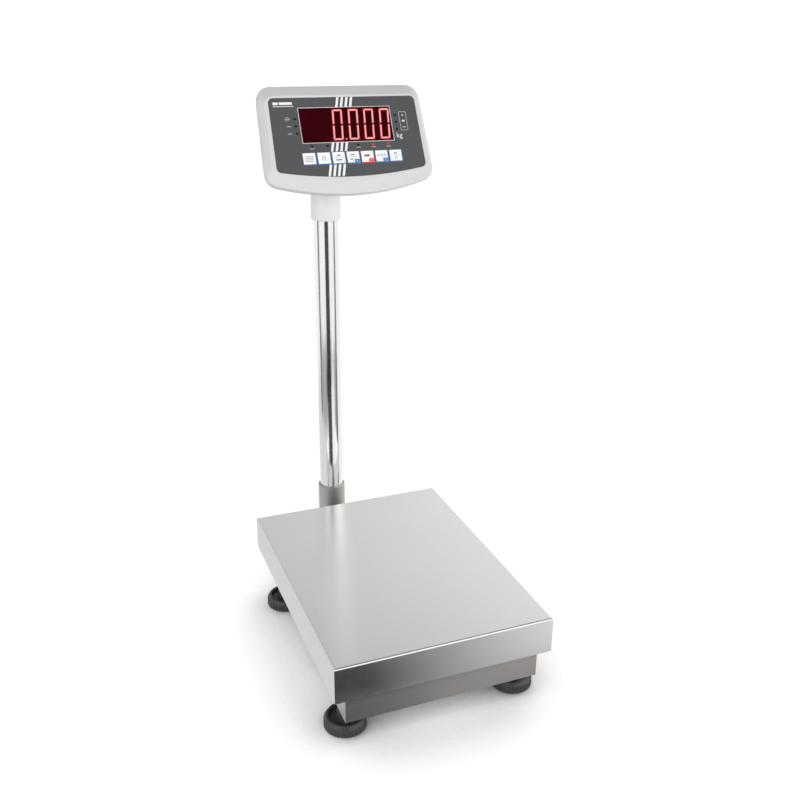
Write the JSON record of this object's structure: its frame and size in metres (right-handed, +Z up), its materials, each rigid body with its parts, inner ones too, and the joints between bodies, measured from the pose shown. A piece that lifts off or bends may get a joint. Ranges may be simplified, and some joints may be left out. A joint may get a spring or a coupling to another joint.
{
  "type": "bench scale",
  "caption": "Bench weighing scale: square-edged steel platform on a frame with screw feet, and a column that carries a tilting, swivelling indicator with a digit window and keys.",
  "frame": {"origin": "middle of the whole object's footprint, on the surface that the feet stand on", "axes": "+Z up, -Y towards the user in front of the platform, +X to the user's right"},
  "size_m": [0.3, 0.523, 0.7683],
  "materials": {
    "plate_steel": "satin stainless sheet, fine grain front to back",
    "frame_steel": "brushed stainless tube and plate",
    "socket_steel": "bead-blasted stainless",
    "pole_chrome": "polished stainless tube",
    "zinc_steel": "zinc-plated steel",
    "fastener_steel": "dark plated steel",
    "cell_aluminium": "anodised, milled",
    "buffer_rubber": "black rubber",
    "pad_rubber": "black rubber sole",
    "wheel_plastic": "black moulded plastic",
    "black_plastic": "black moulded plastic",
    "level_glass": "yellow-green filled capsule",
    "cable_jacket": "black PVC",
    "white_plastic": "white moulded plastic",
    "grey_casting": "grey die casting",
    "housing_plastic": "light grey moulded plastic, fine texture",
    "overlay_print": "dark grey printed foil, satin",
    "window_red": "dark red filter pane",
    "led_black": "black digit block",
    "led_red": "small red light windows",
    "circuit_board": "green solder mask",
    "battery_wrap": "shrink-wrapped cells",
    "key_plastic": "white key caps"
  },
  "bodies": {
    "base": {"frame_rail_front": "frame_steel", "frame_rail_rear": "frame_steel", "frame_rail_left": "frame_steel", "frame_rail_right": "frame_steel", "load_cell_beam": "frame_steel", "load_cell_foot": "zinc_steel", "load_cell": "cell_aluminium", "load_cell_head": "zinc_steel", "load_cell_bolts": "fastener_steel", "carrier_plate": "frame_steel", "carrier_arms": "frame_steel", "plate_buffers": "buffer_rubber", "overload_stops": "fastener_steel", "foot_inserts": "zinc_steel", "stand_flange": "frame_steel", "stand_shelf": "frame_steel", "stand_gussets": "frame_steel", "stand_bolts": "fastener_steel", "spirit_level": "black_plastic", "level_vial": "level_glass", "cable_gland": "black_plastic", "signal_cable": "cable_jacket", "pole_socket": "socket_steel", "socket_screws": "fastener_steel", "pole": "pole_chrome"},
    "plate": {"weighing_plate": "plate_steel"},
    "head": {"neck_sleeve": "white_plastic", "neck_arm": "grey_casting"},
    "display": {"housing_front": "housing_plastic", "housing_back": "housing_plastic", "hinge_bracket": "grey_casting", "pivot_bolt": "fastener_steel", "overlay_foil": "overlay_print", "display_window": "window_red", "led_module": "led_black", "indicator_leds": "led_red", "key_board": "circuit_board", "main_board": "circuit_board", "battery": "battery_wrap", "charger_socket": "black_plastic", "housing_screws": "fastener_steel"},
    "foot_front_left_sole": {"foot_pad_1": "pad_rubber"},
    "foot_front_left_wheel": {"foot_wheel_1": "wheel_plastic", "foot_stud_1": "zinc_steel"},
    "foot_front_right_sole": {"foot_pad_2": "pad_rubber"},
    "foot_front_right_wheel": {"foot_wheel_2": "wheel_plastic", "foot_stud_2": "zinc_steel"},
    "foot_rear_left_sole": {"foot_pad_3": "pad_rubber"},
    "foot_rear_left_wheel": {"foot_wheel_3": "wheel_plastic", "foot_stud_3": "zinc_steel"},
    "foot_rear_right_sole": {"foot_pad_4": "pad_rubber"},
    "foot_rear_right_wheel": {"foot_wheel_4": "wheel_plastic", "foot_stud_4": "zinc_steel"},
    "key_1_cap": {"key_1": "key_plastic"},
    "key_2_cap": {"key_2": "key_plastic"},
    "key_3_cap": {"key_3": "key_plastic"},
    "key_4_cap": {"key_4": "key_plastic"},
    "key_5_cap": {"key_5": "key_plastic"},
    "key_6_cap": {"key_6": "key_plastic"},
    "key_7_cap": {"key_7": "key_plastic"}
  },
  "joints": [
    {"name": "plate_lift_off", "type": "slide", "parent": "base", "child": "plate", "axis": [0, 0, 1], "range_m": [0, 0.08]},
    {"name": "head_swivel", "type": "hinge", "parent": "base", "child": "head", "pos_m": [0, 0.2255, 0.69], "axis": [0, 0, 1], "range_deg": [-90, 90]},
    {"name": "display_tilt", "type": "hinge", "parent": "head", "child": "display", "pos_m": [0, 0.18497, 0.69088], "axis": [1, 0, 0], "range_deg": [-33, 22]},
    {"name": "foot_front_left_height", "type": "slide", "parent": "base", "child": "foot_front_left_sole", "axis": [0, 0, 1], "range_m": [-0.01, 0]},
    {"name": "foot_front_left_turn", "type": "hinge", "parent": "foot_front_left_sole", "child": "foot_front_left_wheel", "pos_m": [-0.121, -0.2105, 0.01], "axis": [0, 0, 1], "range_deg": [-2400, 0]},
    {"name": "foot_front_right_height", "type": "slide", "parent": "base", "child": "foot_front_right_sole", "axis": [0, 0, 1], "range_m": [-0.01, 0]},
    {"name": "foot_front_right_turn", "type": "hinge", "parent": "foot_front_right_sole", "child": "foot_front_right_wheel", "pos_m": [0.121, -0.2105, 0.01], "axis": [0, 0, 1], "range_deg": [-2400, 0]},
    {"name": "foot_rear_left_height", "type": "slide", "parent": "base", "child": "foot_rear_left_sole", "axis": [0, 0, 1], "range_m": [-0.01, 0]},
    {"name": "foot_rear_left_turn", "type": "hinge", "parent": "foot_rear_left_sole", "child": "foot_rear_left_wheel", "pos_m": [-0.121, 0.0875, 0.01], "axis": [0, 0, 1], "range_deg": [-2400, 0]},
    {"name": "foot_rear_right_height", "type": "slide", "parent": "base", "child": "foot_rear_right_sole", "axis": [0, 0, 1], "range_m": [-0.01, 0]},
    {"name": "foot_rear_right_turn", "type": "hinge", "parent": "foot_rear_right_sole", "child": "foot_rear_right_wheel", "pos_m": [0.121, 0.0875, 0.01], "axis": [0, 0, 1], "range_deg": [-2400, 0]},
    {"name": "key_1_press", "type": "slide", "parent": "display", "child": "key_1_cap", "axis": [0, 0.891, -0.454], "range_m": [0, 0.0005], "stiffness_N_per_m": 1500, "springref_m": -0.0003},
    {"name": "key_2_press", "type": "slide", "parent": "display", "child": "key_2_cap", "axis": [0, 0.891, -0.454], "range_m": [0, 0.0005], "stiffness_N_per_m": 1500, "springref_m": -0.0003},
    {"name": "key_3_press", "type": "slide", "parent": "display", "child": "key_3_cap", "axis": [0, 0.891, -0.454], "range_m": [0, 0.0005], "stiffness_N_per_m": 1500, "springref_m": -0.0003},
    {"name": "key_4_press", "type": "slide", "parent": "display", "child": "key_4_cap", "axis": [0, 0.891, -0.454], "range_m": [0, 0.0005], "stiffness_N_per_m": 1500, "springref_m": -0.0003},
    {"name": "key_5_press", "type": "slide", "parent": "display", "child": "key_5_cap", "axis": [0, 0.891, -0.454], "range_m": [0, 0.0005], "stiffness_N_per_m": 1500, "springref_m": -0.0003},
    {"name": "key_6_press", "type": "slide", "parent": "display", "child": "key_6_cap", "axis": [0, 0.891, -0.454], "range_m": [0, 0.0005], "stiffness_N_per_m": 1500, "springref_m": -0.0003},
    {"name": "key_7_press", "type": "slide", "parent": "display", "child": "key_7_cap", "axis": [0, 0.891, -0.454], "range_m": [0, 0.0005], "stiffness_N_per_m": 1500, "springref_m": -0.0003}
  ],
  "couplings": [
    {"joint": "foot_front_left_turn", "follows": "foot_front_left_height", "rad_per_m": 4188.8},
    {"joint": "foot_front_right_turn", "follows": "foot_front_right_height", "rad_per_m": 4188.8},
    {"joint": "foot_rear_left_turn", "follows": "foot_rear_left_height", "rad_per_m": 4188.8},
    {"joint": "foot_rear_right_turn", "follows": "foot_rear_right_height", "rad_per_m": 4188.8}
  ]
}
